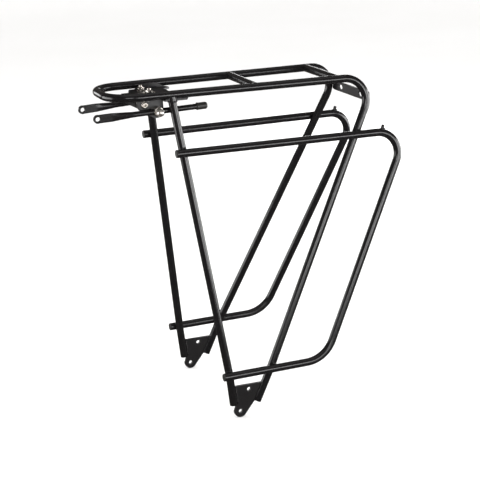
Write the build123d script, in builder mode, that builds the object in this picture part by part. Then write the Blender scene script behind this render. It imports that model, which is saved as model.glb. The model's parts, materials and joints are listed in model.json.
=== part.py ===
"""Rear rack for a bicycle: a welded frame of bent steel tube with two adjustable stays.

+X points to the front of the bicycle, +Y to its left and +Z up. The origin is midway
between the eyelets of the two dropout plates. All sizes are in millimetres.
"""
import math
import os

from build123d import *

# ---------------------------------------------------------------- driving dimensions
# Tubes and welds
tube_d = 10.0
tube_wall = 1.0
weld_bite = 0.1               # how far two crossing tubes melt into each other

# Legs and dropout plates
plate_half = 94.0             # from the middle of the bicycle to the middle of a plate
plate_t = 4.0
plate_top_z = 34.0
plate_foot_z = 10.5
eyelet_hole_d = 5.3
eyelet_lobe_r = 8.2
lobe_rear_angle = 219.0       # where the plate's straight edges leave the round lobe
lobe_front_angle = 364.0
plate_notch_back = 2.6        # behind the front leg's centre line
plate_notch_z = 7.2
upper_hole_d = 5.3
upper_hole_x = -12.0
upper_hole_z = 27.8
leg_foot_z = 9.5
leg_kink_z = 50.0             # below this height a leg stands in the plane of its plate
leg_kink_r = 40.0
front_leg_foot_x = 8.5
front_leg_kink_x = 13.0
front_leg_top_x = 58.2
rear_leg_foot_x = -23.3
rear_leg_kink_x = -42.5

# Platform
platform_z = 402.0            # height of the platform tubes' centre lines
platform_front_x = 133.0
platform_front_half = 44.0    # half the distance between the rails' centre lines
platform_rear_x = -214.2      # where the line of a rail meets the line of a rear leg
platform_rear_half = 52.0
nose_bend_r = 33.0
rear_bend_r = 28.0
crossbar_d = 9.8              # under the rails' diameter, so that its cope stays inside them
middle_crossbar_x = -52.5
rear_crossbar_x = -161.0

# Side rails that the bags hang on
upper_rail_z = 333.0
upper_rail_front_x = 60.2
upper_rail_rear_x = -248.2
upper_rail_bend_r = 27.0
lower_rail_front_z = 52.0
lower_rail_front_x = 23.5
lower_rail_rear_z = 54.0
lower_rail_rear_x = -115.0
lower_rail_bend_r = 41.0
rail_plug_head_d = 9.8
rail_plug_head_t = 1.2
rail_plug_stem = 9.0
bag_stop_x = -211.0
bag_stop_d = 4.0
bag_stop_height = 4.9         # above the tube
bag_stop_lean = 20.0          # degrees, towards the rear

# Mounting plate under the front of the platform
sheet_t = 2.5
mount_front_x = 93.5          # middle of the bowed front edge
mount_corner_x = 84.0
mount_corner_inset = 4.5      # of the front corners from the rail's centre line
mount_rear_x = 43.0
mount_wing_overhang = 3.0     # of the wings' outer edges past the rail's centre line
mount_wing_inner_inset = 11.5
mount_wing_front_x = 67.0
mount_wing_rear_x = 33.6
mount_wing_slant = 5.0
mount_tab_x = 58.0            # middle of the arched tab that is welded to the rail
mount_tab_length = 42.0
mount_tab_rise = 7.0          # above the floor of the plate

# Stay brackets: sheet angles bolted under the mounting plate
ear_r = 9.0
ear_bolt_x = 88.2
ear_washer_gap = 0.1          # between the ear screw's washer and the mounting plate
ear_bolt_r = 9.0              # of the ear's front end, round this bolt
bracket_rear_x = 64.5
bracket_flange_front_x = 82.5
bracket_flange_w = 14.0
bracket_bolt_x = 73.5
bracket_bolt_gap = 0.3        # between the screw's nut and the inner face of the ear
mudguard_bolt_x = 71.0

# Stays: straight rods with a flattened eye at the front
clamp_x = 73.0
clamp_drop = 12.8             # below the underside of the mounting plate
clamp_gap = 1.3               # between the stay and the outer face of the ear
stay_leg_gap = 2.2            # between the stay and the front leg, at the clamp's height
stay_eye_x = 147.5
stay_eye_half = 34.0
stay_eye_drop = 15.7
stay_d = 7.0
stay_tail = 60.5              # from the clamp to the rod's rear end
stay_round_length = 31.0      # from the clamp to where the rod begins to flatten
stay_taper_length = 26.0
stay_flat_t = 3.2
stay_flat_h = 10.6
stay_hole_d = 5.6
stay_cap_d = 9.4
stay_cap_length = 14.0
stay_cap_end_t = 2.0

# Clamps: cross-drilled eye bolts that hold the stays to the ears
eye_d = 12.0
eye_shank_d = 6.0
clamp_nut_af = 10.0
clamp_nut_t = 5.0
clamp_washer_d = 12.0
clamp_washer_t = 1.2
domed_nut_base_t = 4.4
domed_nut_crown_d = 9.4
domed_nut_bore = 5.5
running_gap = 0.05            # radial, where a piece turns or slides in another
face_gap = 0.1                # between flat faces that turn on each other

# Rear light plate
light_plate_t = 2.0
light_plate_half = 52.0
light_plate_drop = 26.2       # below the platform's centre lines
light_plate_h = 12.5
light_plate_corner_r = 2.5
light_slot_half = 29.0
light_slot_length = 10.5
light_slot_h = 6.0

# M5 screws
m5_d = 5.0
m5_hole_d = 5.3
m5_nut_af = 8.0
m5_nut_t = 4.0
m5_washer_d = 10.0
m5_washer_t = 1.0
ear_washer_d = 8.8            # clears the underside of the mounting plate
m5_head_d = 8.0
m5_head_t = 3.0
m5_socket_af = 3.0
m5_socket_depth = 1.6
mudguard_washer_d = 15.0
thread_end = 1.5              # how far a screw stands out of its nut

# ---------------------------------------------------------------- derived dimensions
tube_r = tube_d / 2
bore_r = tube_r - tube_wall
floor_top = platform_z - tube_r
floor_under = floor_top - sheet_t
flange_under = floor_under - sheet_t
leg_cope_z = platform_z - 0.4 * tube_r
ear_bolt_z = floor_under - ear_washer_d / 2 - ear_washer_gap
clamp_z = floor_under - clamp_drop
stay_eye_z = floor_under - stay_eye_drop
light_plate_z = platform_z - light_plate_drop
os.makedirs("parts", exist_ok=True)


def rail_half(x):
    """Half the distance between the platform rails' centre lines at x."""
    share = (platform_front_x - x) / (platform_front_x - platform_rear_x)
    return platform_front_half + (platform_rear_half - platform_front_half) * share


def front_leg_points(side):
    """Foot, kink and top of a front leg's centre line."""
    return [
        Vector(front_leg_foot_x, side * plate_half, leg_foot_z),
        Vector(front_leg_kink_x, side * plate_half, leg_kink_z),
        Vector(front_leg_top_x, side * rail_half(front_leg_top_x), platform_z),
    ]


def rear_leg_points(side):
    """Foot, kink and top corner of a rear leg's centre line."""
    return [
        Vector(rear_leg_foot_x, side * plate_half, leg_foot_z),
        Vector(rear_leg_kink_x, side * plate_half, leg_kink_z),
        Vector(platform_rear_x, side * platform_rear_half, platform_z),
    ]


def beside_leg(leg, z):
    """Centre of a level tube where it touches the outer side of a leg at height z."""
    kink, top = leg[1], leg[2]
    point = kink + (top - kink) * ((z - kink.Z) / (top.Z - kink.Z))
    across = (top - kink).cross(Vector(1, 0, 0)).normalized()
    spacing = (tube_d - weld_bite) / abs(across.Y)
    return point + Vector(0, math.copysign(spacing, kink.Y), 0)


def beside_both_legs(side, x, z):
    """Centre of a side rail at x and z, on the line that touches both legs."""
    front = beside_leg(front_leg_points(side), z)
    rear = beside_leg(rear_leg_points(side), z)
    y = front.Y + (rear.Y - front.Y) * (x - front.X) / (rear.X - front.X)
    return Vector(x, y, z)


def side_rail_points(side):
    """Corners of a side rail's centre line, from its upper to its lower front end."""
    return [
        beside_both_legs(side, upper_rail_front_x, upper_rail_z),
        beside_both_legs(side, upper_rail_rear_x, upper_rail_z),
        beside_both_legs(side, lower_rail_rear_x, lower_rail_rear_z),
        beside_both_legs(side, lower_rail_front_x, lower_rail_front_z),
    ]


def foot_x_at(leg, z):
    """X of a leg's centre line at z, between its foot and its kink."""
    foot, kink = leg[0], leg[1]
    return foot.X + (kink.X - foot.X) * (z - foot.Z) / (kink.Z - foot.Z)


def on_lobe(angle):
    """Point on the outline of a dropout plate's round lobe, in the plate's plane."""
    return (eyelet_lobe_r * math.cos(math.radians(angle)),
            eyelet_lobe_r * math.sin(math.radians(angle)))


def full_rod(points, radii):
    """A tube's outer shape without its bore, to cope the pieces welded to it."""
    with BuildPart() as rod:
        with BuildLine() as path:
            FilletPolyline(*points, radius=radii)
        with BuildSketch(Plane(origin=path.line @ 0, z_dir=path.line % 0)):
            Circle(tube_r)
        sweep()
    return rod.part


def upright(y, x=0.0, z=0.0):
    """Plane across the bicycle's width at y: local x is forward and local y is up."""
    return Plane(origin=(x, y, z), x_dir=(1, 0, 0), z_dir=(0, -1, 0))


# ---------------------------------------------------------------- main hoop
# One tube: up the left rear leg, round the platform and down the right rear leg.
hoop_points = [
    *rear_leg_points(1),
    Vector(platform_front_x, platform_front_half, platform_z),
    Vector(platform_front_x, -platform_front_half, platform_z),
    *reversed(rear_leg_points(-1)),
]
hoop_radii = [leg_kink_r, rear_bend_r, nose_bend_r, nose_bend_r, rear_bend_r, leg_kink_r]
hoop_rod = full_rod(hoop_points, hoop_radii)

with BuildPart() as main_hoop:
    with BuildLine() as hoop_path:
        FilletPolyline(*hoop_points, radius=hoop_radii)
    with BuildSketch(Plane(origin=hoop_path.line @ 0, z_dir=hoop_path.line % 0)):
        Circle(tube_r)
        Circle(bore_r, mode=Mode.SUBTRACT)
    sweep()
main_hoop.part.label = "main_hoop"
export_step(main_hoop.part, "parts/main_hoop.step")

# ---------------------------------------------------------------- crossbars
# Two straight tubes between the rails, with their ends coped to them.
for bar_name, bar_x in (("middle_crossbar", middle_crossbar_x), ("rear_crossbar", rear_crossbar_x)):
    with BuildPart() as crossbar:
        with BuildSketch(Plane(origin=(bar_x, 0, platform_z), z_dir=(0, 1, 0))):
            Circle(crossbar_d / 2)
            Circle(crossbar_d / 2 - tube_wall, mode=Mode.SUBTRACT)
        extrude(amount=rail_half(bar_x), both=True)
        add(hoop_rod, mode=Mode.SUBTRACT)
    crossbar.part.label = bar_name
    export_step(crossbar.part, f"parts/{bar_name}.step")

# ---------------------------------------------------------------- sides of the frame
for side_name, side in (("left", 1), ("right", -1)):
    leg_points = front_leg_points(side)
    rail_points = side_rail_points(side)
    rail_radii = [upper_rail_bend_r, lower_rail_bend_r]

    # Front leg, from the dropout plate up to the underside of the platform rail.
    with BuildPart() as front_leg:
        with BuildLine() as leg_path:
            FilletPolyline(*leg_points, radius=leg_kink_r)
        with BuildSketch(Plane(origin=leg_path.line @ 0, z_dir=leg_path.line % 0)):
            Circle(tube_r)
            Circle(bore_r, mode=Mode.SUBTRACT)
        sweep()
        split(bisect_by=Plane.XY.offset(leg_cope_z), keep=Keep.BOTTOM)
        add(hoop_rod, mode=Mode.SUBTRACT)
    front_leg.part.label = f"{side_name}_front_leg"
    export_step(front_leg.part, f"parts/{side_name}_front_leg.step")

    # Dropout plate, cut from sheet and welded between the feet of the two legs.
    top_front = (foot_x_at(leg_points, plate_top_z), plate_top_z)
    top_rear = (foot_x_at(rear_leg_points(side), plate_top_z), plate_top_z)
    foot_front = (foot_x_at(leg_points, plate_foot_z), plate_foot_z)
    foot_rear = (foot_x_at(rear_leg_points(side), plate_foot_z), plate_foot_z)
    foot_corner = (foot_rear[0] + tube_r, plate_foot_z)
    notch = (front_leg_foot_x - plate_notch_back, plate_notch_z)
    lobe_rear = on_lobe(lobe_rear_angle)
    lobe_front = on_lobe(lobe_front_angle)
    lobe_bottom = on_lobe((lobe_rear_angle + lobe_front_angle) / 2)
    with BuildPart() as dropout_plate:
        with BuildSketch(upright(side * plate_half)):
            with BuildLine():
                Polyline(lobe_front, notch, foot_front, top_front, top_rear, foot_rear,
                         foot_corner, lobe_rear)
                ThreePointArc(lobe_rear, lobe_bottom, lobe_front)
            make_face()
            Circle(eyelet_hole_d / 2, mode=Mode.SUBTRACT)
            with Locations((upper_hole_x, upper_hole_z)):
                Circle(upper_hole_d / 2, mode=Mode.SUBTRACT)
        extrude(amount=plate_t / 2, both=True)
        add(full_rod(leg_points, leg_kink_r), mode=Mode.SUBTRACT)
        add(hoop_rod, mode=Mode.SUBTRACT)
    dropout_plate.part.label = f"{side_name}_dropout_plate"
    export_step(dropout_plate.part, f"parts/{side_name}_dropout_plate.step")

    # Side rail, one tube bent twice and welded to the outer side of both legs.
    with BuildPart() as side_rail:
        with BuildLine() as rail_path:
            FilletPolyline(*rail_points, radius=rail_radii)
        with BuildSketch(Plane(origin=rail_path.line @ 0, z_dir=rail_path.line % 0)):
            Circle(tube_r)
            Circle(bore_r, mode=Mode.SUBTRACT)
        sweep()
    side_rail.part.label = f"{side_name}_side_rail"
    export_step(side_rail.part, f"parts/{side_name}_side_rail.step")

    # Moulded plugs that close the rail's front ends.
    mouths = {
        "upper": Plane(origin=rail_path.line @ 0, z_dir=-(rail_path.line % 0)),
        "lower": Plane(origin=rail_path.line @ 1, z_dir=rail_path.line % 1),
    }
    for level, mouth in mouths.items():
        with BuildPart() as rail_plug:
            with BuildSketch(mouth.offset(-rail_plug_stem)):
                Circle(bore_r)
            extrude(amount=rail_plug_stem)
            with BuildSketch(mouth):
                Circle(rail_plug_head_d / 2)
            extrude(amount=rail_plug_head_t)
            outer_face = rail_plug.faces().sort_by(Axis(mouth.origin, mouth.z_dir))[-1]
            fillet(outer_face.edges(), rail_plug_head_t / 2)
        rail_plug.part.label = f"{side_name}_{level}_rail_plug"
        export_step(rail_plug.part, f"parts/{side_name}_{level}_rail_plug.step")

    # Bag stop, a short pin on top of the upper rail that keeps a bag's hook in place.
    lean = math.radians(bag_stop_lean)
    stop_axis = Vector(-math.sin(lean), 0, math.cos(lean))
    stop_foot = beside_both_legs(side, bag_stop_x, upper_rail_z)
    with BuildPart() as bag_stop:
        with BuildSketch(Plane(origin=stop_foot, z_dir=stop_axis)):
            Circle(bag_stop_d / 2)
        extrude(amount=tube_r + bag_stop_height)
        tip = bag_stop.faces().sort_by(Axis.Z)[-1]
        fillet(tip.edges(), bag_stop_d * 0.4)
        add(full_rod(rail_points, rail_radii), mode=Mode.SUBTRACT)
    bag_stop.part.label = f"{side_name}_bag_stop"
    export_step(bag_stop.part, f"parts/{side_name}_bag_stop.step")

# ---------------------------------------------------------------- places of the clamps
# Each stay runs just inside a front leg, and its clamp hangs on an ear just inside it.
leg_kink, leg_top = front_leg_points(1)[1:]
leg_share = (clamp_z - leg_kink.Z) / (leg_top.Z - leg_kink.Z)
leg_half_at_clamp = leg_kink.Y + (leg_top.Y - leg_kink.Y) * leg_share
clamp_half = leg_half_at_clamp - tube_r - stay_leg_gap - stay_d / 2
ear_half = clamp_half - stay_d / 2 - clamp_gap      # outer face of the ear
eye_half_length = clamp_half - ear_half - face_gap
bracket_bolt_half = ear_half - sheet_t - m5_nut_af / 2 - bracket_bolt_gap

# ---------------------------------------------------------------- mounting plate
# Folded sheet welded under the two rails, with an arched tab inside each rail.
mount_corner_half = rail_half(mount_wing_front_x) - mount_corner_inset
mount_wing_half = rail_half(mount_wing_front_x) + mount_wing_overhang
mount_wing_inner_half = rail_half(mount_wing_front_x) - mount_wing_inner_inset
plate_side = [
    (mount_corner_x, mount_corner_half),
    (mount_wing_front_x, mount_corner_half),
    (mount_wing_front_x, mount_wing_half),
    (mount_wing_rear_x + mount_wing_slant, mount_wing_half),
    (mount_wing_rear_x, mount_wing_half - 2 * mount_wing_slant),
    (mount_wing_rear_x, mount_wing_inner_half),
    (mount_rear_x, mount_wing_inner_half - mount_wing_slant),
]
other_side = [(x, -y) for x, y in plate_side]
with BuildPart() as mounting_plate:
    with BuildSketch(Plane.XY.offset(floor_under)):
        with BuildLine():
            Polyline(*plate_side)
            Polyline(*other_side)
            Line(plate_side[-1], other_side[-1])
            ThreePointArc(plate_side[0], (mount_front_x, 0), other_side[0])
        make_face()
        with Locations((mudguard_bolt_x, 0)):
            Circle(m5_hole_d / 2, mode=Mode.SUBTRACT)
        with Locations((bracket_bolt_x, bracket_bolt_half), (bracket_bolt_x, -bracket_bolt_half)):
            Circle(m5_hole_d / 2, mode=Mode.SUBTRACT)
    extrude(amount=sheet_t)
    rail_slope = math.atan2(platform_rear_half - platform_front_half,
                            platform_front_x - platform_rear_x)
    for side in (1, -1):
        tab_y = side * (rail_half(mount_tab_x) - tube_r + weld_bite)
        tab_plane = Plane(
            origin=(mount_tab_x, tab_y, floor_top),
            x_dir=(side * math.cos(rail_slope), -math.sin(rail_slope), 0),
            z_dir=(-math.sin(rail_slope), -side * math.cos(rail_slope), 0),
        )
        with BuildSketch(tab_plane):
            with BuildLine():
                foot_rear = (-mount_tab_length / 2, -sheet_t / 2)
                foot_front = (mount_tab_length / 2, -sheet_t / 2)
                ThreePointArc(foot_rear, (0, mount_tab_rise), foot_front)
                Line(foot_front, foot_rear)
            make_face()
        extrude(amount=sheet_t)
    add(hoop_rod, mode=Mode.SUBTRACT)
    for side in (1, -1):
        add(full_rod(front_leg_points(side), leg_kink_r), mode=Mode.SUBTRACT)
mounting_plate.part.label = "mounting_plate"
export_step(mounting_plate.part, "parts/mounting_plate.step")

# ---------------------------------------------------------------- rear light plate
# Flat strip welded across the rear bends, with two level slots for a lamp's screws.
light_plate_front_x = hoop_rod.bounding_box().min.X + weld_bite
with BuildPart() as rear_light_plate:
    with BuildSketch(Plane(origin=(light_plate_front_x, 0, light_plate_z),
                           x_dir=(0, 1, 0), z_dir=(-1, 0, 0))):
        RectangleRounded(2 * light_plate_half, light_plate_h, light_plate_corner_r)
        with Locations((light_slot_half, 0), (-light_slot_half, 0)):
            SlotOverall(light_slot_length, light_slot_h, mode=Mode.SUBTRACT)
    extrude(amount=light_plate_t)
    add(hoop_rod, mode=Mode.SUBTRACT)
rear_light_plate.part.label = "rear_light_plate"
export_step(rear_light_plate.part, "parts/rear_light_plate.step")

# ---------------------------------------------------------------- stay brackets
# A folded sheet angle on each side: the flange is screwed under the mounting plate and
# the ear hangs down to carry the clamp.
for side_name, side in (("left", 1), ("right", -1)):
    with BuildPart() as stay_bracket:
        with BuildSketch(upright(side * ear_half)):
            with Locations((clamp_x, clamp_z)):
                Circle(ear_r)
            with Locations((ear_bolt_x, ear_bolt_z)):
                Circle(ear_bolt_r)
            ear_front_x = ear_bolt_x + ear_bolt_r
            with Locations(((bracket_rear_x + ear_front_x) / 2, floor_under)):
                Rectangle(ear_front_x - bracket_rear_x, sheet_t)
            make_hull()
            with Locations(((bracket_rear_x + ear_front_x) / 2, floor_under)):
                Rectangle(2 * (ear_front_x - bracket_rear_x), 4 * ear_bolt_r, mode=Mode.SUBTRACT,
                          align=(Align.CENTER, Align.MIN))
            with Locations((clamp_x, clamp_z)):
                Circle(eye_shank_d / 2 + running_gap, mode=Mode.SUBTRACT)
            with Locations((ear_bolt_x, ear_bolt_z)):
                Circle(m5_hole_d / 2, mode=Mode.SUBTRACT)
        extrude(amount=side * sheet_t)
        with BuildSketch(Plane.XY.offset(flange_under)):
            flange_length = bracket_flange_front_x - bracket_rear_x
            with Locations((bracket_rear_x + flange_length / 2,
                            side * (ear_half - sheet_t / 2 - bracket_flange_w / 2))):
                Rectangle(flange_length, bracket_flange_w)
            with Locations((bracket_bolt_x, side * bracket_bolt_half)):
                Circle(m5_hole_d / 2, mode=Mode.SUBTRACT)
        extrude(amount=sheet_t)
    stay_bracket.part.label = f"{side_name}_stay_bracket"
    export_step(stay_bracket.part, f"parts/{side_name}_stay_bracket.step")

# ---------------------------------------------------------------- screws
# Every screw joins the plates between its head and its nut. Its place is the plane of
# the surface under the head's washer, facing the head; the grip is what it clamps.
ear_grip = sheet_t
flange_grip = 2 * sheet_t
screw_places = {
    "bracket": (flange_grip, m5_washer_d, [
        Plane(origin=(bracket_bolt_x, side * bracket_bolt_half, flange_under), z_dir=(0, 0, -1))
        for side in (1, -1)
    ]),
    "ear": (ear_grip, ear_washer_d, [
        Plane(origin=(ear_bolt_x, side * ear_half, ear_bolt_z), x_dir=(1, 0, 0),
              z_dir=(0, side, 0))
        for side in (1, -1)
    ]),
    "mudguard": (sheet_t, mudguard_washer_d, [
        Plane(origin=(mudguard_bolt_x, 0, floor_under), z_dir=(0, 0, -1))
    ]),
}
for use, (grip, washer_d, places) in screw_places.items():
    # Button-head screws with a hexagon socket.
    with BuildPart() as screws:
        for place in places:
            head_seat = place.offset(m5_washer_t if use == "ear" else 0)
            with BuildSketch(head_seat):
                Circle(m5_head_d / 2)
            extrude(amount=m5_head_t)
            with BuildSketch(head_seat.offset(m5_head_t - m5_socket_depth)):
                RegularPolygon(m5_socket_af / 2, 6, major_radius=False)
            extrude(amount=m5_socket_depth, mode=Mode.SUBTRACT)
            shank_length = grip + 2 * m5_washer_t + m5_nut_t + thread_end
            with BuildSketch(head_seat):
                Circle(m5_d / 2)
            extrude(amount=-shank_length)
    screws.part.label = f"{use}_screws"
    export_step(screws.part, f"parts/{use}_screws.step")

    # Flat washers: under the ear screws' heads and under all the other nuts.
    with BuildPart() as washers:
        for place in places:
            washer_seat = place if use == "ear" else place.offset(-grip - m5_washer_t)
            with BuildSketch(washer_seat):
                Circle(washer_d / 2)
                Circle(m5_d / 2, mode=Mode.SUBTRACT)
            extrude(amount=m5_washer_t)
    washers.part.label = f"{use}_washers"
    export_step(washers.part, f"parts/{use}_washers.step")

    # Hexagon nuts.
    with BuildPart() as nuts:
        for place in places:
            nut_seat = place.offset(-grip if use == "ear" else -grip - m5_washer_t)
            with BuildSketch(nut_seat):
                RegularPolygon(m5_nut_af / 2, 6, major_radius=False)
                Circle(m5_d / 2, mode=Mode.SUBTRACT)
            extrude(amount=-m5_nut_t)
    nuts.part.label = f"{use}_nuts"
    export_step(nuts.part, f"parts/{use}_nuts.step")

# ---------------------------------------------------------------- clamps and stays
for side_name, side in (("left", 1), ("right", -1)):
    clamp_centre = Vector(clamp_x, side * clamp_half, clamp_z)
    stay_eye = Vector(stay_eye_x, side * stay_eye_half, stay_eye_z)
    along_stay = (stay_eye - clamp_centre).normalized()
    stay_length = (stay_eye - clamp_centre).length
    across_stay = Vector(0, 0, 1).cross(along_stay).normalized()
    stay_section = Plane(origin=clamp_centre, x_dir=across_stay, z_dir=along_stay)
    stay_side = Plane(origin=clamp_centre, x_dir=along_stay, z_dir=-across_stay)
    outboard = Plane(origin=clamp_centre, x_dir=(1, 0, 0), z_dir=(0, side, 0))
    eye_outer = outboard.offset(eye_half_length)
    eye_inner = outboard.offset(-eye_half_length)
    inner_washer_seat = outboard.offset(-eye_half_length - face_gap - sheet_t - face_gap)
    inner_nut_seat = inner_washer_seat.offset(-clamp_washer_t)
    domed_nut_seat = eye_outer.offset(clamp_washer_t)

    # Eye bolt: a short barrel drilled across for the stay, threaded at both ends.
    with BuildPart() as eye_bolt:
        with BuildSketch(eye_inner):
            Circle(eye_d / 2)
        extrude(amount=2 * eye_half_length)
        with BuildSketch(eye_outer):
            Circle(eye_shank_d / 2)
        extrude(amount=clamp_washer_t + domed_nut_base_t)
        with BuildSketch(eye_inner):
            Circle(eye_shank_d / 2)
        extrude(amount=-(sheet_t + 2 * face_gap + clamp_washer_t + clamp_nut_t + thread_end))
        with BuildSketch(stay_section):
            Circle(stay_d / 2 + running_gap)
        extrude(amount=eye_d, both=True, mode=Mode.SUBTRACT)
    eye_bolt.part.label = f"{side_name}_eye_bolt"
    export_step(eye_bolt.part, f"parts/{side_name}_eye_bolt.step")

    # Two washers, one behind the ear and one under the domed nut.
    with BuildPart() as clamp_washers:
        for seat, direction in ((inner_washer_seat, -1), (eye_outer, 1)):
            with BuildSketch(seat):
                Circle(clamp_washer_d / 2)
                Circle(eye_shank_d / 2, mode=Mode.SUBTRACT)
            extrude(amount=direction * clamp_washer_t)
    clamp_washers.part.label = f"{side_name}_clamp_washers"
    export_step(clamp_washers.part, f"parts/{side_name}_clamp_washers.step")

    # Plain nut on the inner end of the eye bolt.
    with BuildPart() as clamp_nut:
        with BuildSketch(inner_nut_seat):
            RegularPolygon(clamp_nut_af / 2, 6, major_radius=False)
            Circle(eye_shank_d / 2, mode=Mode.SUBTRACT)
        extrude(amount=-clamp_nut_t)
    clamp_nut.part.label = f"{side_name}_clamp_nut"
    export_step(clamp_nut.part, f"parts/{side_name}_clamp_nut.step")

    # Domed nut on the outer end.
    with BuildPart() as domed_nut:
        with BuildSketch(domed_nut_seat):
            RegularPolygon(clamp_nut_af / 2, 6, major_radius=False)
        extrude(amount=domed_nut_base_t)
        crown_r = domed_nut_crown_d / 2
        with Locations(domed_nut_seat.offset(domed_nut_base_t)):
            Sphere(crown_r)
        split(bisect_by=domed_nut_seat, keep=Keep.TOP)
        with BuildSketch(domed_nut_seat):
            Circle(eye_shank_d / 2)
        extrude(amount=domed_nut_bore, mode=Mode.SUBTRACT)
    domed_nut.part.label = f"{side_name}_domed_nut"
    export_step(domed_nut.part, f"parts/{side_name}_domed_nut.step")

    # Stay: a rod whose front end is pressed flat and drilled for the bicycle's boss.
    taper_end = stay_round_length + stay_taper_length
    with BuildPart() as stay:
        with BuildSketch(stay_section.offset(-stay_tail)):
            Circle(stay_d / 2)
        extrude(amount=stay_tail + stay_round_length)
        with BuildSketch(stay_section.offset(stay_round_length)):
            Circle(stay_d / 2)
        with BuildSketch(stay_section.offset(taper_end)):
            RectangleRounded(stay_flat_t, stay_flat_h, stay_flat_t * 0.45)
        loft()
        with BuildSketch(stay_section.offset(taper_end)):
            RectangleRounded(stay_flat_t, stay_flat_h, stay_flat_t * 0.45)
        extrude(amount=stay_length - taper_end)
        with BuildSketch(stay_side):
            with Locations((stay_length, 0)):
                Circle(stay_flat_h / 2)
        extrude(amount=stay_flat_t / 2, both=True)
        with BuildSketch(stay_side):
            with Locations((stay_length, 0)):
                Circle(stay_hole_d / 2)
        extrude(amount=stay_flat_t, both=True, mode=Mode.SUBTRACT)
    stay.part.label = f"{side_name}_stay"
    export_step(stay.part, f"parts/{side_name}_stay.step")

    # Moulded cap on the stay's rear end.
    cap_back = stay_section.offset(-stay_tail - stay_cap_end_t)
    with BuildPart() as stay_cap:
        with BuildSketch(cap_back):
            Circle(stay_cap_d / 2)
        extrude(amount=stay_cap_length)
        back_face = stay_cap.faces().sort_by(Axis(clamp_centre, along_stay))[0]
        fillet(back_face.edges(), stay_cap_end_t)
        with BuildSketch(cap_back.offset(stay_cap_end_t)):
            Circle(stay_d / 2)
        extrude(amount=stay_cap_length, mode=Mode.SUBTRACT)
    stay_cap.part.label = f"{side_name}_stay_cap"
    export_step(stay_cap.part, f"parts/{side_name}_stay_cap.step")
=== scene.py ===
"""Looks of a bicycle's rear rack: coated tube frame, welds, fasteners, stays and caps."""
import json
import math

import bpy
import numpy as np
from mathutils import Matrix, Vector


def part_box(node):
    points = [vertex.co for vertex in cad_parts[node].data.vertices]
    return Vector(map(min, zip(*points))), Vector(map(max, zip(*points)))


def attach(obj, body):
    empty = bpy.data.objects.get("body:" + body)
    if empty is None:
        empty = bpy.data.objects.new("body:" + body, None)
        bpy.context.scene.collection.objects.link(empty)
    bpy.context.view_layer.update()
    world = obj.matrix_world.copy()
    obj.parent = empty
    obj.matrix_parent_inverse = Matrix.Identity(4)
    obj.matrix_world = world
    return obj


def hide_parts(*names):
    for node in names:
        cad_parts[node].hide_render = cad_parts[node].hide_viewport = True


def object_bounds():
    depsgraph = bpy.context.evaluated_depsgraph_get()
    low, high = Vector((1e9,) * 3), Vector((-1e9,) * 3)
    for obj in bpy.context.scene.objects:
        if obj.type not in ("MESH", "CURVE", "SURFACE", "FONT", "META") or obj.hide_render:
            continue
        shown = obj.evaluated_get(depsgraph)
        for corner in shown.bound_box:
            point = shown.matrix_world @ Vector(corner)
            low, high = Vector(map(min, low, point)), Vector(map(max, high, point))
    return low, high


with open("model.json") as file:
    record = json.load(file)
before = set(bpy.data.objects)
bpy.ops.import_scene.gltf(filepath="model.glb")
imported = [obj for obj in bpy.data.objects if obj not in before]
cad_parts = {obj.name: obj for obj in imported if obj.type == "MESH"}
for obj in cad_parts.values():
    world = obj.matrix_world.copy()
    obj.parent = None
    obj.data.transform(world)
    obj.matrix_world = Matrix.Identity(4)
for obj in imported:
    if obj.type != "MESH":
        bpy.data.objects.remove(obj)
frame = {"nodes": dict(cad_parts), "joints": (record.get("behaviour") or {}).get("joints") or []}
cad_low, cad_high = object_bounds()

# ---------------------------------------------------------------- camera
# A long lens on the rack's left, a little ahead of it and above it, turned very slightly.
MM = 0.001
scene = bpy.context.scene
view_target = Vector((-45.1, 0.0, 193.1)) * MM
view_distance = 1839.4 * MM
view_yaw = math.radians(21.14)
view_pitch = math.radians(16.29)
view_roll = math.radians(-1.70)
forward = Vector((
    -math.sin(view_yaw) * math.cos(view_pitch),
    -math.cos(view_yaw) * math.cos(view_pitch),
    -math.sin(view_pitch),
))
level_right = forward.cross(Vector((0, 0, 1))).normalized()
level_up = level_right.cross(forward)
camera_right = level_right * math.cos(view_roll) + level_up * math.sin(view_roll)
camera_up = level_up * math.cos(view_roll) - level_right * math.sin(view_roll)
lens = bpy.data.cameras.new("long_lens")
lens.lens = 106.3
lens.shift_x = -0.0035
lens.shift_y = 0.0017
camera = bpy.data.objects.new("long_lens", lens)
turn = Matrix((camera_right, camera_up, -forward)).transposed().to_4x4()
camera.matrix_world = Matrix.Translation(view_target - forward * view_distance) @ turn
scene.collection.objects.link(camera)
scene.camera = camera

# ---------------------------------------------------------------- studio floor
# Matt white paper: a round floor that curves up into a low wall, so that every side of
# the rack is seen against it. Above the wall the room is dark.


def linear(hex_colour):
    """A colour written as sRGB hex, as the linear colour that shaders take."""
    parts = [int(hex_colour[i:i + 2], 16) / 255 for i in (0, 2, 4)]
    return [p / 12.92 if p <= 0.04045 else ((p + 0.055) / 1.055) ** 2.4 for p in parts] + [1.0]


def add_node(tree, kind, settings=None, links=None):
    """Add a node to a tree, set its properties and inputs, and link outputs into it."""
    node = tree.nodes.new(kind)
    for key, value in (settings or {}).items():
        if isinstance(key, int) or key in node.inputs:
            node.inputs[key].default_value = value
        else:
            setattr(node, key, value)
    for key, output in (links or {}).items():
        tree.links.new(output, node.inputs[key])
    return node


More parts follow.
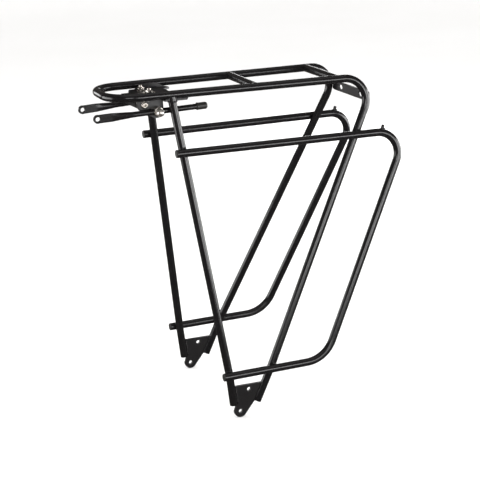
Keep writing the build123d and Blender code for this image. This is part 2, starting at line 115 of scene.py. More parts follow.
def turned_shell(name, profile, segments, closed=False):
    """Spin rings of (radius, height) round Z. A radius may be a function of the angle."""
    rows = []
    for radius, height in profile:
        angles = [2 * math.pi * i / segments for i in range(segments)]
        radii = [radius(a) if callable(radius) else radius for a in angles]
        rows.append([(r * math.cos(a), r * math.sin(a), height) for r, a in zip(radii, angles)])
    points = []
    row_starts = []
    for (radius, height), row in zip(profile, rows):
        row_starts.append((len(points), radius == 0))
        points += [(0, 0, height)] if radius == 0 else row
    faces = []
    pairs = list(zip(row_starts, row_starts[1:] + row_starts[:1]))
    for (low, low_is_tip), (high, high_is_tip) in pairs if closed else pairs[:-1]:
        for i in range(segments):
            k = (i + 1) % segments
            if low_is_tip:
                faces.append((low, high + k, high + i))
            elif high_is_tip:
                faces.append((low + i, low + k, high))
            else:
                faces.append((low + i, low + k, high + k, high + i))
    mesh = bpy.data.meshes.new(name)
    mesh.from_pydata([Vector(p) * MM for p in points], [], faces)
    mesh.shade_smooth()
    return mesh


paper = bpy.data.materials.new("matt_white_paper")
paper.use_nodes = True
tree = paper.node_tree
# Paper is even and matt: a faint cloudiness is all that shows.
clouds = add_node(tree, "ShaderNodeTexNoise", {"Scale": 1 / (400 * MM), "Detail": 2.0},
                  {"Vector": add_node(tree, "ShaderNodeTexCoord").outputs["Object"]})
tone = add_node(tree, "ShaderNodeMix",
                {"data_type": "RGBA", 6: linear("f4f4f3"), 7: linear("f8f8f8")},
                {0: clouds.outputs["Fac"]})
shader = tree.nodes["Principled BSDF"]
shader.inputs["Roughness"].default_value = 0.9
shader.inputs["Specular IOR Level"].default_value = 0.1
tree.links.new(tone.outputs[2], shader.inputs["Base Color"])

floor_drop = 0.2            # mm under the rack's lowest point
floor_radius = 4200
wall_bend = 800
wall_height = 1700
floor_z = cad_low.z / MM - floor_drop
sweep_profile = [(0, floor_z), (400, floor_z), (1200, floor_z), (floor_radius, floor_z)]
for step in range(1, 9):
    angle = math.radians(90) * step / 8
    sweep_profile.append((floor_radius + wall_bend * math.sin(angle),
                          floor_z + wall_bend * (1 - math.cos(angle))))
sweep_profile.append((floor_radius + wall_bend, floor_z + wall_height))
paper_sweep = bpy.data.objects.new("paper_sweep", turned_shell("paper_sweep", sweep_profile, 96))
paper_sweep.data.flip_normals()
paper_sweep.visible_glossy = False
paper_sweep.data.materials.append(paper)
scene.collection.objects.link(paper_sweep)

# ---------------------------------------------------------------- studio lights
# Soft boxes that stand round the rack: each one draws a long streak on a gloss tube, and
# the dark room between them keeps the rest of it black. The paper is lit from far above
# by a wide light that the gloss doesn't show, and a dim panel gives the tops a soft sheen.
room = bpy.data.worlds.new("dark_room")
room.use_nodes = True
room.node_tree.nodes["Background"].inputs["Color"].default_value = linear("fff6ee")
room.node_tree.nodes["Background"].inputs["Strength"].default_value = 0.10
scene.world = room
scene.view_settings.view_transform = "Standard"


def soft_box(name, bearing, distance, centre_z, across, up, radiance, seen_in_gloss=True):
    """A square light at a bearing in degrees, from the rack's left towards its front."""
    light = bpy.data.lights.new(name, "AREA")
    light.shape = "RECTANGLE"
    light.size = across
    light.size_y = up
    light.energy = radiance * math.pi * across * up
    box = bpy.data.objects.new(name, light)
    aim = Vector((-0.05, 0, 0.25))
    away = Vector((math.sin(math.radians(bearing)), math.cos(math.radians(bearing)), 0))
    box.location = Vector((aim.x, aim.y, centre_z)) + away * distance
    box.rotation_euler = (aim - box.location).to_track_quat("-Z", "Y").to_euler()
    box.visible_camera = False
    box.visible_glossy = seen_in_gloss
    scene.collection.objects.link(box)


soft_box("paper_light", 0, 0.01, 4.5, 9.0, 9.0, 1.7, seen_in_gloss=False)
soft_box("ceiling_panel", 0, 0.01, 2.4, 2.0, 2.0, 0.4)
soft_box("rear_left_box", -21, 1.9, 0.36, 1.1, 0.5, 8.0)
soft_box("rear_box", -75, 1.3, 0.30, 1.3, 0.6, 7.5)
soft_box("front_box", 106, 1.2, 0.30, 1.0, 0.6, 5.0)
soft_box("camera_box", 20, 1.9, 0.80, 0.9, 0.4, 7.0)
soft_box("far_left_box", 150, 1.9, 0.40, 0.6, 0.5, 4.0)
soft_box("far_right_box", -150, 1.9, 0.40, 0.6, 0.5, 4.0)

# ---------------------------------------------------------------- tube frame
# Chromium-molybdenum steel tube, bent cold and welded, then powder coated gloss black.
# The main hoop is one tube; crossbars, front legs and side rails are welded to it.
orange_peel = 1.6 * MM      # the real 0.6 mm is too fine to show, so it is drawn coarser
coat_pooling = 35 * MM      # the melted powder runs a little thicker in places


def powder_coat(name, thin_hex, thick_hex, smoothest, roughest, softened_edge):
    """Black polyester powder melted to a skin: gloss streaks with a faint orange peel."""
    material = bpy.data.materials.new(name)
    material.use_nodes = True
    tree = material.node_tree
    place = add_node(tree, "ShaderNodeTexCoord").outputs["Object"]
    peel = add_node(tree, "ShaderNodeTexNoise", {"Scale": 1 / orange_peel, "Detail": 2.0},
                    {"Vector": place})
    pool = add_node(tree, "ShaderNodeTexNoise", {"Scale": 1 / coat_pooling, "Detail": 3.0},
                    {"Vector": place})
    shade = add_node(tree, "ShaderNodeMix",
                     {"data_type": "RGBA", 6: linear(thin_hex), 7: linear(thick_hex)},
                     {0: pool.outputs["Fac"]})
    gloss = add_node(tree, "ShaderNodeMapRange", {"To Min": smoothest, "To Max": roughest},
                     {"Value": pool.outputs["Fac"]})
    edge = add_node(tree, "ShaderNodeBevel", {"samples": 4, "Radius": softened_edge})
    relief = add_node(tree, "ShaderNodeBump", {"Strength": 0.25, "Distance": 0.06 * MM},
                      {"Height": peel.outputs["Fac"], "Normal": edge.outputs["Normal"]})
    shader = tree.nodes["Principled BSDF"]
    shader.inputs["IOR"].default_value = 1.47
    tree.links.new(shade.outputs[2], shader.inputs["Base Color"])
    tree.links.new(gloss.outputs["Result"], shader.inputs["Roughness"])
    tree.links.new(relief.outputs["Normal"], shader.inputs["Normal"])
    return material


tube_coat = powder_coat("gloss_powder_coat_on_tube", "0d0c0d", "141314", 0.13, 0.22, 0.3 * MM)
tube_nodes = ["main_hoop", "middle_crossbar", "rear_crossbar"]
for side in ("left", "right"):
    tube_nodes += [f"{side}_front_leg", f"{side}_side_rail", f"{side}_bag_stop", f"{side}_stay"]
for node_name in tube_nodes:
    frame["nodes"][node_name].material_slots[0].material = tube_coat

# ---------------------------------------------------------------- sheet parts
# Dropout plates, the mounting plate, the stay brackets and the light plate are laser-cut
# and folded sheet steel under the same coat, which lies flatter and a little greyer.
sheet_coat = powder_coat("powder_coat_on_sheet", "121112", "1b1a1b", 0.24, 0.36, 0.5 * MM)
sheet_nodes = ["mounting_plate", "rear_light_plate"]
for side in ("left", "right"):
    sheet_nodes += [f"{side}_dropout_plate", f"{side}_stay_bracket"]
for node_name in sheet_nodes:
    frame["nodes"][node_name].material_slots[0].material = sheet_coat

# ---------------------------------------------------------------- weld beads
# Each joint is TIG welded with a rod, under the coat: a small rippled bead that fills the
# corner between two parts. The guides follow the parts themselves.
bead_radius = 1.15
bead_pitch = 1.1            # mm from ripple to ripple
bead_step = 0.3             # mm between the rings of the bead's mesh
tube_radius = 5.0
side_signs = {"left": 1, "right": -1}


def section_box(node, axis, place, keep=None):
    """Box, in mm, of a node's section at a place along an axis, within what keep allows."""
    mesh = frame["nodes"][node].data
    co = np.empty(len(mesh.vertices) * 3)
    mesh.vertices.foreach_get("co", co)
    co = co.reshape(-1, 3) / MM
    ends = np.empty(len(mesh.edges) * 2, dtype=np.int64)
    mesh.edges.foreach_get("vertices", ends)
    a, b = co[ends[0::2]], co[ends[1::2]]
    crossing = (a[:, axis] - place) * (b[:, axis] - place) < 0
    a, b = a[crossing], b[crossing]
    share = (place - a[:, axis]) / (b[:, axis] - a[:, axis])
    cut = a + (b - a) * share[:, None]
    if keep:
        cut = cut[[keep(p) for p in cut]]
    return Vector(cut.min(0)), Vector(cut.max(0))


def section_centre(node, axis, place, keep=None):
    """Centre, in mm, of a tube's section."""
    low, high = section_box(node, axis, place, keep)
    return (low + high) / 2


def leg_at(leg, sign, z):
    """Centre of a leg at height z. Both rear legs are parts of the main hoop."""
    return section_centre(leg, 2, z, lambda p: p[1] * sign > 0)


guides = []
for side, sign in side_signs.items():
    rail_node = f"{side}_side_rail"
    rail_low, rail_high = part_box(rail_node)
    rail_levels = (rail_high.z / MM - tube_radius, rail_low.z / MM + tube_radius)
    for leg in (f"{side}_front_leg", "main_hoop"):
        # Side rail on a leg: a bead above and one below, round the leg's outer side.
        for level, z in enumerate(rail_levels):
            leg_centre = leg_at(leg, sign, z)
            rail_centre = section_centre(
                rail_node, 0, leg_centre.x, lambda p: abs(p[2] - z) < 3 * tube_radius)
            up = (leg_at(leg, sign, rail_centre.z + 9) - leg_at(leg, sign, rail_centre.z - 9))
            up.normalize()
            out = (rail_centre - leg_at(leg, sign, rail_centre.z))
            out -= out.project(up)
            out.normalize()
            across = up.cross(out)
            for rise in (-3.9, 3.9):
                foot = leg_at(leg, sign, rail_centre.z + rise)
                guides.append([
                    foot + (out * math.cos(t) + across * math.sin(t)) * (tube_radius + 0.3)
                    for t in (math.radians(8 * step) for step in range(-6, 7))
                ])
    # Dropout plate between the feet of the legs: a bead on each face along each leg.
    plate_low, plate_high = (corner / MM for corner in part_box(f"{side}_dropout_plate"))
    plate_middle = (plate_low.y + plate_high.y) / 2
    for leg, towards_plate in ((f"{side}_front_leg", -1), ("main_hoop", 1)):
        for face in (plate_low.y, plate_high.y):
            outward = math.copysign(0.4, face - plate_middle)
            seam = math.sqrt(tube_radius ** 2 - (face - plate_middle) ** 2) + 0.3
            guides.append([
                Vector((leg_at(leg, sign, z).x + towards_plate * seam, face + outward, z))
                for z in np.linspace(plate_high.z - 23, plate_high.z - 0.8, 8)
            ])
    # Front leg under the mounting plate's wing: a ring round the leg.
    plate_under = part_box("mounting_plate")[0].z / MM
    centre = leg_at(f"{side}_front_leg", sign, plate_under - 0.6)
    guides.append([
        centre + Vector((math.cos(t), math.sin(t), 0)) * (tube_radius + 0.1)
        for t in (math.radians(10 * step) for step in range(37))
    ])
    # Mounting plate's wing under the rail: a bead along its outer edge.
    wing_low, wing_high = (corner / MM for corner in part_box("mounting_plate"))
    guides.append([
        Vector((x, sign * (wing_high.y - 0.9), wing_high.z - 7 + 0.2))
        for x in np.linspace(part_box("mounting_plate")[0].x / MM + 7, 64, 8)
    ])
# Crossbars between the rails: a saddle-shaped ring at each end.
for node_name in ("middle_crossbar", "rear_crossbar"):
    low, high = (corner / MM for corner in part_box(node_name))
    middle = (low + high) / 2
    bar_radius = (high.z - low.z) / 2
    rail_half = high.y + math.sqrt(tube_radius ** 2 - bar_radius ** 2)
    ring_radius = bar_radius - 1.0
    for sign in (1, -1):
        guides.append([
            Vector((
                middle.x + ring_radius * math.cos(t),
                sign * (rail_half - math.sqrt(max(0, (tube_radius + 0.2) ** 2
                                                  - (ring_radius * math.sin(t)) ** 2))),
                middle.z + ring_radius * math.sin(t),
            ))
            for t in (math.radians(10 * step) for step in range(37))
        ])
# Light plate across the rear bends: a short bead down each leg's inner side.
strip_low, strip_high = (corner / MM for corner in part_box("rear_light_plate"))
for sign in (1, -1):
    leg = leg_at("main_hoop", sign, (strip_low.z + strip_high.z) / 2)
    guides.append([
        Vector((strip_high.x - 0.2, sign * (abs(leg.y) - 3.4), z))
        for z in np.linspace(strip_low.z + 0.8, strip_high.z - 0.8, 5)
    ])
# Bag stops: a ring round each pin's foot, on the rail.
for side, sign in side_signs.items():
    pin_low, pin_high = (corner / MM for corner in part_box(f"{side}_bag_stop"))
    rail = section_centre(f"{side}_side_rail", 0, pin_high.x - 2.4, lambda p: p[2] > pin_low.z - 20)
    guides.append([
        Vector((
            rail.x + 2.5 * math.cos(t),
            rail.y + 2.5 * math.sin(t),
            rail.z + math.sqrt(tube_radius ** 2 - (2.5 * math.sin(t)) ** 2) + 0.1,
        ))
        for t in (math.radians(20 * step) for step in range(19))
    ])

weld_tree = bpy.data.node_groups.new("weld_bead", "GeometryNodeTree")
for socket_name, kind in (("Guides", "Geometry"), ("Bead Radius", "Float"), ("Ripple Pitch", "Float"),
                          ("Ring Step", "Float"), ("Seed", "Int"), ("Coat", "Material")):
    weld_tree.interface.new_socket(socket_name, in_out="INPUT", socket_type=f"NodeSocket{kind}")
weld_tree.interface.new_socket("Beads", in_out="OUTPUT", socket_type="NodeSocketGeometry")
given = add_node(weld_tree, "NodeGroupInput").outputs
lines = add_node(weld_tree, "GeometryNodeMeshToCurve", links={"Mesh": given["Guides"]})
rings = add_node(weld_tree, "GeometryNodeResampleCurve", {"mode": "LENGTH"},
                 {"Curve": lines.outputs[0], "Length": given["Ring Step"]})
# Ripples: the bead swells and narrows once in each pitch, and it tapers at both ends.
along = add_node(weld_tree, "GeometryNodeSplineParameter").outputs
whole = add_node(weld_tree, "GeometryNodeSplineLength").outputs["Length"]
count = add_node(weld_tree, "ShaderNodeMath", {"operation": "DIVIDE"},
                 {0: along["Length"], 1: given["Ripple Pitch"]}).outputs[0]
wave = add_node(weld_tree, "ShaderNodeMath", {"operation": "PINGPONG", 1: 0.5},
                {0: count}).outputs[0]
swell = add_node(weld_tree, "ShaderNodeMath", {"operation": "MULTIPLY_ADD", 1: 0.45, 2: 0.82},
                 {0: wave}).outputs[0]
random = add_node(weld_tree, "FunctionNodeRandomValue", {"data_type": "FLOAT", 2: 0.95, 3: 1.05},
                  {"Seed": given["Seed"]}).outputs[1]
uneven = add_node(weld_tree, "ShaderNodeMath", {"operation": "MULTIPLY"},
                  {0: swell, 1: random}).outputs[0]
left_over = add_node(weld_tree, "ShaderNodeMath", {"operation": "SUBTRACT"},
                     {0: whole, 1: along["Length"]}).outputs[0]
to_end = add_node(weld_tree, "ShaderNodeMath", {"operation": "MINIMUM"},
                  {0: along["Length"], 1: left_over}).outputs[0]
end_share = add_node(weld_tree, "ShaderNodeMath", {"operation": "DIVIDE", "use_clamp": True},
                     {0: to_end, 1: given["Ripple Pitch"]}).outputs[0]
taper = add_node(weld_tree, "ShaderNodeMapRange", {"To Min": 0.45, "To Max": 1.0},
                 {"Value": end_share}).outputs[0]
scale = add_node(weld_tree, "ShaderNodeMath", {"operation": "MULTIPLY"},
                 {0: uneven, 1: taper}).outputs[0]
rim = add_node(weld_tree, "GeometryNodeCurvePrimitiveCircle", {"Resolution": 12},
               {"Radius": given["Bead Radius"]}).outputs[0]
beads = add_node(weld_tree, "GeometryNodeCurveToMesh", {"Fill Caps": True},
                 {"Curve": rings.outputs[0], "Profile Curve": rim, "Scale": scale})
smooth = add_node(weld_tree, "GeometryNodeSetShadeSmooth", links={"Geometry": beads.outputs[0]})
real = add_node(weld_tree, "GeometryNodeRealizeInstances", links={"Geometry": smooth.outputs[0]})
coated = add_node(weld_tree, "GeometryNodeSetMaterial",
                  links={"Geometry": real.outputs[0], "Material": given["Coat"]})
add_node(weld_tree, "NodeGroupOutput", links={"Beads": coated.outputs[0]})


def grown(name, guide_mesh, tree, values, body):
    """Run a node tree on a guide mesh and keep what it makes as a plain piece on a body."""
    piece = bpy.data.objects.new(name, guide_mesh)
    scene.collection.objects.link(piece)
    modifier = piece.modifiers.new(name, "NODES")
    modifier.node_group = tree
    for item in tree.interface.items_tree:
        if item.in_out == "INPUT" and item.name in values:
            modifier[item.identifier] = values[item.name]
    graph = bpy.context.evaluated_depsgraph_get()
    made = bpy.data.meshes.new_from_object(piece.evaluated_get(graph), depsgraph=graph)
    piece.modifiers.clear()
    piece.data = made
    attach(piece, body)
    return piece


points = []
edges = []
for guide in guides:
    edges += [(len(points) + i, len(points) + i + 1) for i in range(len(guide) - 1)]
    points += [p * MM for p in guide]
guide_mesh = bpy.data.meshes.new("weld_guides")
guide_mesh.from_pydata(points, edges, [])
grown("weld_beads", guide_mesh, weld_tree,
      {"Bead Radius": bead_radius * MM, "Ripple Pitch": bead_pitch * MM,
       "Ring Step": bead_step * MM, "Seed": 3, "Coat": tube_coat},
      "frame")

# ---------------------------------------------------------------- fasteners
# Stainless M5 button-head screws with hexagon sockets, flat washers and hexagon nuts,
# turned and stamped, then passivated: bright, with fine turning lines.
stainless = bpy.data.materials.new("bright_stainless_steel")
stainless.use_nodes = True
tree = stainless.node_tree
place = add_node(tree, "ShaderNodeTexCoord").outputs["Object"]
handling = add_node(tree, "ShaderNodeTexNoise", {"Scale": 1 / (3 * MM), "Detail": 3.0},
                    {"Vector": place})
turning = add_node(tree, "ShaderNodeTexNoise", {"Scale": 1 / (0.25 * MM), "Detail": 2.0},
                   {"Vector": place})
shade = add_node(tree, "ShaderNodeMix",
                 {"data_type": "RGBA", 6: linear("b9b3ab"), 7: linear("dcd7d0")},
                 {0: handling.outputs["Fac"]})
gloss = add_node(tree, "ShaderNodeMapRange", {"To Min": 0.16, "To Max": 0.32},
                 {"Value": handling.outputs["Fac"]})
relief = add_node(tree, "ShaderNodeBump", {"Strength": 0.2, "Distance": 0.02 * MM},
                  {"Height": turning.outputs["Fac"]})
shader = tree.nodes["Principled BSDF"]
shader.inputs["Metallic"].default_value = 1.0
tree.links.new(shade.outputs[2], shader.inputs["Base Color"])
tree.links.new(gloss.outputs["Result"], shader.inputs["Roughness"])
tree.links.new(relief.outputs["Normal"], shader.inputs["Normal"])

fastener_segments = 48
thread_depth = 0.4
thread_pitch = 0.8


def hexagon(across_flats, limit=1e9):
    """Radius of a hexagon at an angle, cut back to a circle of a limiting radius."""
    return lambda a: min(limit, across_flats / 2 / math.cos((a + math.pi / 6) % (math.pi / 3)
                                                            - math.pi / 6))


def chamfered_hexagon(across_flats, low, high):
    """Profile rings of a hexagon whose corners are turned off at both faces."""
    corner = across_flats / 2 * (2 / math.sqrt(3) - 0.94)
    steps = [corner * step / 4 for step in range(5)]
    rings = [(hexagon(across_flats, across_flats / 2 * 0.94 + s), low + s * 0.577) for s in steps]
    return rings + [(r, high - (z - low)) for r, z in reversed(rings)]


def nut_mesh(across_flats, thickness, bore):
    """A hexagon nut on its seat, with countersunk ends to its bore."""
    sink = 0.35
    return turned_shell("nut", [
        (bore / 2, sink), (bore / 2 + sink, 0),
        *chamfered_hexagon(across_flats, 0, thickness),
        (bore / 2 + sink, thickness), (bore / 2, thickness - sink),
    ], fastener_segments, closed=True)


def washer_mesh(outer, bore, thickness):
    """A stamped washer: its upper rim is rolled over and its lower one is sharp."""
    roll = thickness * 0.35
    return turned_shell("washer", [
        (bore / 2, thickness - roll / 2), (bore / 2, 0), (outer / 2 - 0.05, 0), (outer / 2, 0.05),
        (outer / 2, thickness - roll), (outer / 2 - roll * 0.3, thickness - roll * 0.3),
        (outer / 2 - roll, thickness), (bore / 2 + roll / 2, thickness),
    ], fastener_segments, closed=True)


def thread_rings(diameter, low, high):
    """Profile rings of a thread between two heights."""
    turns = round((high - low) / thread_pitch)
    rings = []
    for turn_number in range(turns):
        z = low + turn_number * thread_pitch
        rings += [(diameter / 2 - thread_depth, z), (diameter / 2, z + thread_pitch / 2)]
    return rings


def screw_mesh(head_d, head_t, shank_d, shank_length, socket_af, socket_depth):
    """A button-head screw with its head above the seat and its shank below it."""
    rim = 0.7
    flat_radius = socket_af / 2 + 1.0
    dome = []
    for step in range(7):
        angle = math.radians(90) * step / 6
        dome.append((flat_radius + (head_d / 2 - flat_radius) * math.cos(angle),
                     rim + (head_t - rim) * math.sin(angle)))
    threaded = 2.4
    return turned_shell("screw", [
        (0, -shank_length), (shank_d / 2 - 0.7, -shank_length),
        *thread_rings(shank_d, -shank_length + 0.3, -shank_length + 0.3 + threaded),
        (shank_d / 2, -shank_length + threaded + 0.8), (shank_d / 2, 0), (head_d / 2 - 0.2, 0),
        (head_d / 2, 0.2), *dome,
        (hexagon(socket_af + 0.3), head_t), (hexagon(socket_af), head_t - 0.15),
        (hexagon(socket_af), head_t - socket_depth), (0, head_t - socket_depth - 0.3),
    ], fastener_segments)


fitting_tree = bpy.data.node_groups.new("parts_on_seats", "GeometryNodeTree")
for socket_name, kind in (("Seats", "Geometry"), ("Part", "Object"), ("Spin Seed", "Int"),
                          ("Finish", "Material")):
    fitting_tree.interface.new_socket(socket_name, in_out="INPUT", socket_type=f"NodeSocket{kind}")
fitting_tree.interface.new_socket("Parts", in_out="OUTPUT", socket_type="NodeSocketGeometry")
given = add_node(fitting_tree, "NodeGroupInput").outputs
facing = add_node(fitting_tree, "GeometryNodeInputNamedAttribute",
                  {"data_type": "FLOAT_VECTOR", "Name": "facing"}).outputs[0]
upright = add_node(fitting_tree, "FunctionNodeAlignRotationToVector", {"axis": "Z"},
                   {"Vector": facing}).outputs[0]
# Each part stops wherever its thread was tight, so its flats lie at a random angle.
spin = add_node(fitting_tree, "FunctionNodeRandomValue", {"data_type": "FLOAT", 2: 0.0, 3: math.pi},
                {"Seed": given["Spin Seed"]}).outputs[1]
spin_turn = add_node(fitting_tree, "FunctionNodeAxisAngleToRotation", {"Axis": (0, 0, 1)},
                     {"Angle": spin}).outputs[0]
turned = add_node(fitting_tree, "FunctionNodeRotateRotation", {"rotation_space": "LOCAL"},
                  {"Rotation": upright, "Rotate By": spin_turn}).outputs[0]
part = add_node(fitting_tree, "GeometryNodeObjectInfo", {"As Instance": True},
                {"Object": given["Part"]}).outputs["Geometry"]
placed = add_node(fitting_tree, "GeometryNodeInstanceOnPoints",
                  links={"Points": given["Seats"], "Instance": part, "Rotation": turned})
real = add_node(fitting_tree, "GeometryNodeRealizeInstances", links={"Geometry": placed.outputs[0]})
finished = add_node(fitting_tree, "GeometryNodeSetMaterial",
                    links={"Geometry": real.outputs[0], "Material": given["Finish"]})
add_node(fitting_tree, "NodeGroupOutput", links={"Parts": finished.outputs[0]})


def fit(name, part_mesh, seats, finish, body, node, spin_seed=1):
    """Put copies of a part on seats, each a point and the way it faces, for a CAD node."""
    part_object = bpy.data.objects.new(f"{name}_part", part_mesh)
    seat_mesh = bpy.data.meshes.new(name)
    seat_mesh.from_pydata([Vector(point) * MM for point, facing in seats], [], [])
    ways = seat_mesh.attributes.new("facing", "FLOAT_VECTOR", "POINT")
    for way, (point, facing) in zip(ways.data, seats):
        way.vector = Vector(facing)
    piece = grown(name, seat_mesh, fitting_tree,
                  {"Part": part_object, "Spin Seed": spin_seed, "Finish": finish}, body)
    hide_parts(node)
    return piece


def half_box(node, sign):
    """Box, in mm, of the solids of a node on one side of the middle."""
    points = [v.co / MM for v in frame["nodes"][node].data.vertices if v.co.y * sign >= -1e-6]
    return (Vector(min(p[i] for p in points) for i in range(3)),
            Vector(max(p[i] for p in points) for i in range(3)))


# Screws under the mounting plate point up; those in the ears point inwards.
m5_shank = 5.0
m5_head_t = 3.0
m5_socket_af = 3.0
m5_socket_depth = 1.6
m5_nut_af = 8.0
screw_uses = {"bracket": (1, -1), "mudguard": (0,), "ear": (1, -1)}
for use, signs in screw_uses.items():
    axis = 1 if use == "ear" else 2
    screw_seats, washer_seats, nut_seats = [], [], []
    for sign in signs:
        screw_low, screw_high = half_box(f"{use}_screws", sign)
        washer_low, washer_high = half_box(f"{use}_washers", sign)
        nut_low, nut_high = half_box(f"{use}_nuts", sign)
        centre = (screw_low + screw_high) / 2
        facing = Vector((0, sign, 0)) if use == "ear" else Vector((0, 0, -1))
        towards_head = facing[axis] > 0
        head_end = screw_high[axis] if towards_head else screw_low[axis]
        head_d = screw_high.x - screw_low.x
        seat = centre.copy()
        seat[axis] = head_end - facing[axis] * m5_head_t
        screw_seats.append((seat, facing))
        washer = centre.copy()
        nut = centre.copy()
        if use == "ear":
            washer[axis] = washer_low[axis] if towards_head else washer_high[axis]
            nut[axis] = nut_high[axis] if towards_head else nut_low[axis]
            washer_seats.append((washer, facing))
            nut_seats.append((nut, -facing))
        else:
            washer[axis] = washer_low[axis]
            nut[axis] = nut_low[axis]
            washer_seats.append((washer, -facing))
            nut_seats.append((nut, -facing))
    shank_length = screw_high[axis] - screw_low[axis] - m5_head_t
    washer_d = washer_high.x - washer_low.x
    washer_t = washer_high[axis] - washer_low[axis]
    nut_t = nut_high[axis] - nut_low[axis]
    screw = screw_mesh(head_d, m5_head_t, m5_shank, shank_length, m5_socket_af, m5_socket_depth)
    fit(f"{use}_button_head_screws", screw, screw_seats,
        stainless, "frame", f"{use}_screws")
    fit(f"{use}_flat_washers", washer_mesh(washer_d, m5_shank, washer_t),
        washer_seats, stainless, "frame", f"{use}_washers")
    fit(f"{use}_hexagon_nuts", nut_mesh(m5_nut_af, nut_t, m5_shank),
        nut_seats, stainless, "frame", f"{use}_nuts", spin_seed=5)

# ---------------------------------------------------------------- clamps
# A stainless eye bolt holds each stay to its ear, with a washer and a nut inside and a
# washer and a polished domed nut outside.
polished = bpy.data.materials.new("polished_stainless_steel")
polished.use_nodes = True
tree = polished.node_tree
smears = add_node(tree, "ShaderNodeTexNoise", {"Scale": 1 / (4 * MM), "Detail": 2.0},
                  {"Vector": add_node(tree, "ShaderNodeTexCoord").outputs["Object"]})
# Buffing leaves a soft shine with faint smears: almost white, slightly warm.
gloss = add_node(tree, "ShaderNodeMapRange", {"To Min": 0.30, "To Max": 0.42},
                 {"Value": smears.outputs["Fac"]})
shader = tree.nodes["Principled BSDF"]
shader.inputs["Metallic"].default_value = 1.0
shader.inputs["Base Color"].default_value = linear("f6f2ec")
tree.links.new(gloss.outputs["Result"], shader.inputs["Roughness"])


def domed_nut_mesh(across_flats, base, crown_d, bore, bore_depth):
    """A domed nut on its seat: a chamfered hexagon, a neck and a round crown."""
    crown = crown_d / 2
    hexagon_rings = chamfered_hexagon(across_flats, 0, base)
    dome = [(crown * math.cos(math.radians(a)), base + crown * math.sin(math.radians(a)))
            for a in range(5, 90, 8)]
    return turned_shell("domed_nut", [
        (0, bore_depth), (bore / 2, bore_depth), (bore / 2, 0.3), (bore / 2 + 0.3, 0),
        *hexagon_rings, (crown, base), *dome, (0, base + crown),
    ], fastener_segments)


clamp_bore = 6.0
clamp_nut_af = 10.0
clamp_washer_d = 12.0
clamp_washer_t = 1.2
dome_base = 4.4
dome_crown_d = 9.4
dome_bore_depth = 5.5
for side, sign in side_signs.items():
    body = f"{side}_clamp"
    nut_low, nut_high = half_box(f"{side}_clamp_nut", sign)
    dome_low, dome_high = half_box(f"{side}_domed_nut", sign)
    outward = Vector((0, sign, 0))
    centre = (dome_low + dome_high) / 2
    dome_seat = Vector((centre.x, dome_low.y if sign > 0 else dome_high.y, centre.z))
    nut_seat = Vector((centre.x, nut_high.y if sign > 0 else nut_low.y, centre.z))
    frame["nodes"][f"{side}_eye_bolt"].material_slots[0].material = stainless
    fit(f"{side}_clamp_hexagon_nut", nut_mesh(clamp_nut_af, nut_high.y - nut_low.y, clamp_bore),
        [(nut_seat, -outward)], stainless, body, f"{side}_clamp_nut")
    washer_shift = outward * clamp_washer_t
    fit(f"{side}_clamp_flat_washers", washer_mesh(clamp_washer_d, clamp_bore, clamp_washer_t),
        [(nut_seat + washer_shift, -outward), (dome_seat - washer_shift, outward)],
        stainless, body, f"{side}_clamp_washers")
    fit(f"{side}_polished_domed_nut",
        domed_nut_mesh(clamp_nut_af, dome_base, dome_crown_d, clamp_bore, dome_bore_depth),
        [(dome_seat, outward)], polished, body, f"{side}_domed_nut")

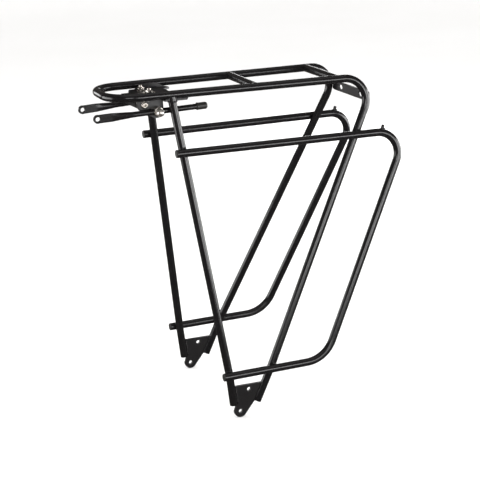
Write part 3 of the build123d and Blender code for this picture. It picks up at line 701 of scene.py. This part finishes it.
# ---------------------------------------------------------------- moulded plugs and caps
# Black polyethylene, injection moulded: satin, with the mould's fine spark grain. Plugs
# are pressed into the side rails' front ends and a cap over each stay's rear end.
plastic = bpy.data.materials.new("moulded_black_polyethylene")
plastic.use_nodes = True
tree = plastic.node_tree
spark_grain = 0.5 * MM      # the real 0.1 mm is too fine to show
grain = add_node(tree, "ShaderNodeTexNoise", {"Scale": 1 / spark_grain, "Detail": 3.0},
                 {"Vector": add_node(tree, "ShaderNodeTexCoord").outputs["Object"]})
shade = add_node(tree, "ShaderNodeMix",
                 {"data_type": "RGBA", 6: linear("1a1918"), 7: linear("242321")},
                 {0: grain.outputs["Fac"]})
relief = add_node(tree, "ShaderNodeBump", {"Strength": 0.3, "Distance": 0.03 * MM},
                  {"Height": grain.outputs["Fac"]})
shader = tree.nodes["Principled BSDF"]
shader.inputs["Roughness"].default_value = 0.38
tree.links.new(shade.outputs[2], shader.inputs["Base Color"])
tree.links.new(relief.outputs["Normal"], shader.inputs["Normal"])


plug_mesh = turned_shell("rail_plug", [
    (0, -9.0), (3.6, -9.0), (3.98, -8.4), (3.98, 0), (4.75, 0), (4.9, 0.15), (4.9, 0.6),
    (4.8, 0.9), (4.5, 1.12), (4.1, 1.2), (3.7, 1.12), (3.4, 0.95), (2.0, 0.85), (0, 0.8),
], fastener_segments)
cap_mesh = turned_shell("stay_cap", [
    (0, 0), (1.6, 0.05), (2.7, 0.3), (3.6, 0.9), (4.15, 1.7), (4.35, 2.6), (4.4, 4.0),
    (4.4, 11.4), (4.45, 11.8), (4.7, 12.2), (4.7, 13.5), (4.6, 13.8), (4.3, 14.0),
    (3.7, 14.0), (3.5, 13.8), (3.5, 2.0), (0, 2.0),
], fastener_segments)
for side, sign in side_signs.items():
    for level in ("upper", "lower"):
        node_name = f"{side}_{level}_rail_plug"
        low, high = (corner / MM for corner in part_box(node_name))
        far = section_centre(node_name, 0, low.x + 1.0)
        near = section_centre(node_name, 0, high.x - 2.0)
        facing = (near - far).normalized()
        tip = near + facing * ((high.x - near.x) / facing.x)
        fit(f"{side}_{level}_moulded_plug", plug_mesh.copy(), [(tip - facing * 1.3, facing)],
            plastic, "frame", node_name)
    clamp = next(j for j in frame["joints"] if j["name"] == f"{side}_clamp_tilt")
    slide = next(j for j in frame["joints"] if j["name"] == f"{side}_stay_slide")
    along_stay = Vector(slide["axis"]).normalized()
    pivot = Vector(clamp["pos_m"]) / MM
    cap_back = min((v.co / MM - pivot).dot(along_stay)
                   for v in frame["nodes"][f"{side}_stay_cap"].data.vertices)
    fit(f"{side}_moulded_stay_cap", cap_mesh.copy(), [(pivot + along_stay * cap_back, along_stay)],
        plastic, f"{side}_stay_rod", f"{side}_stay_cap")
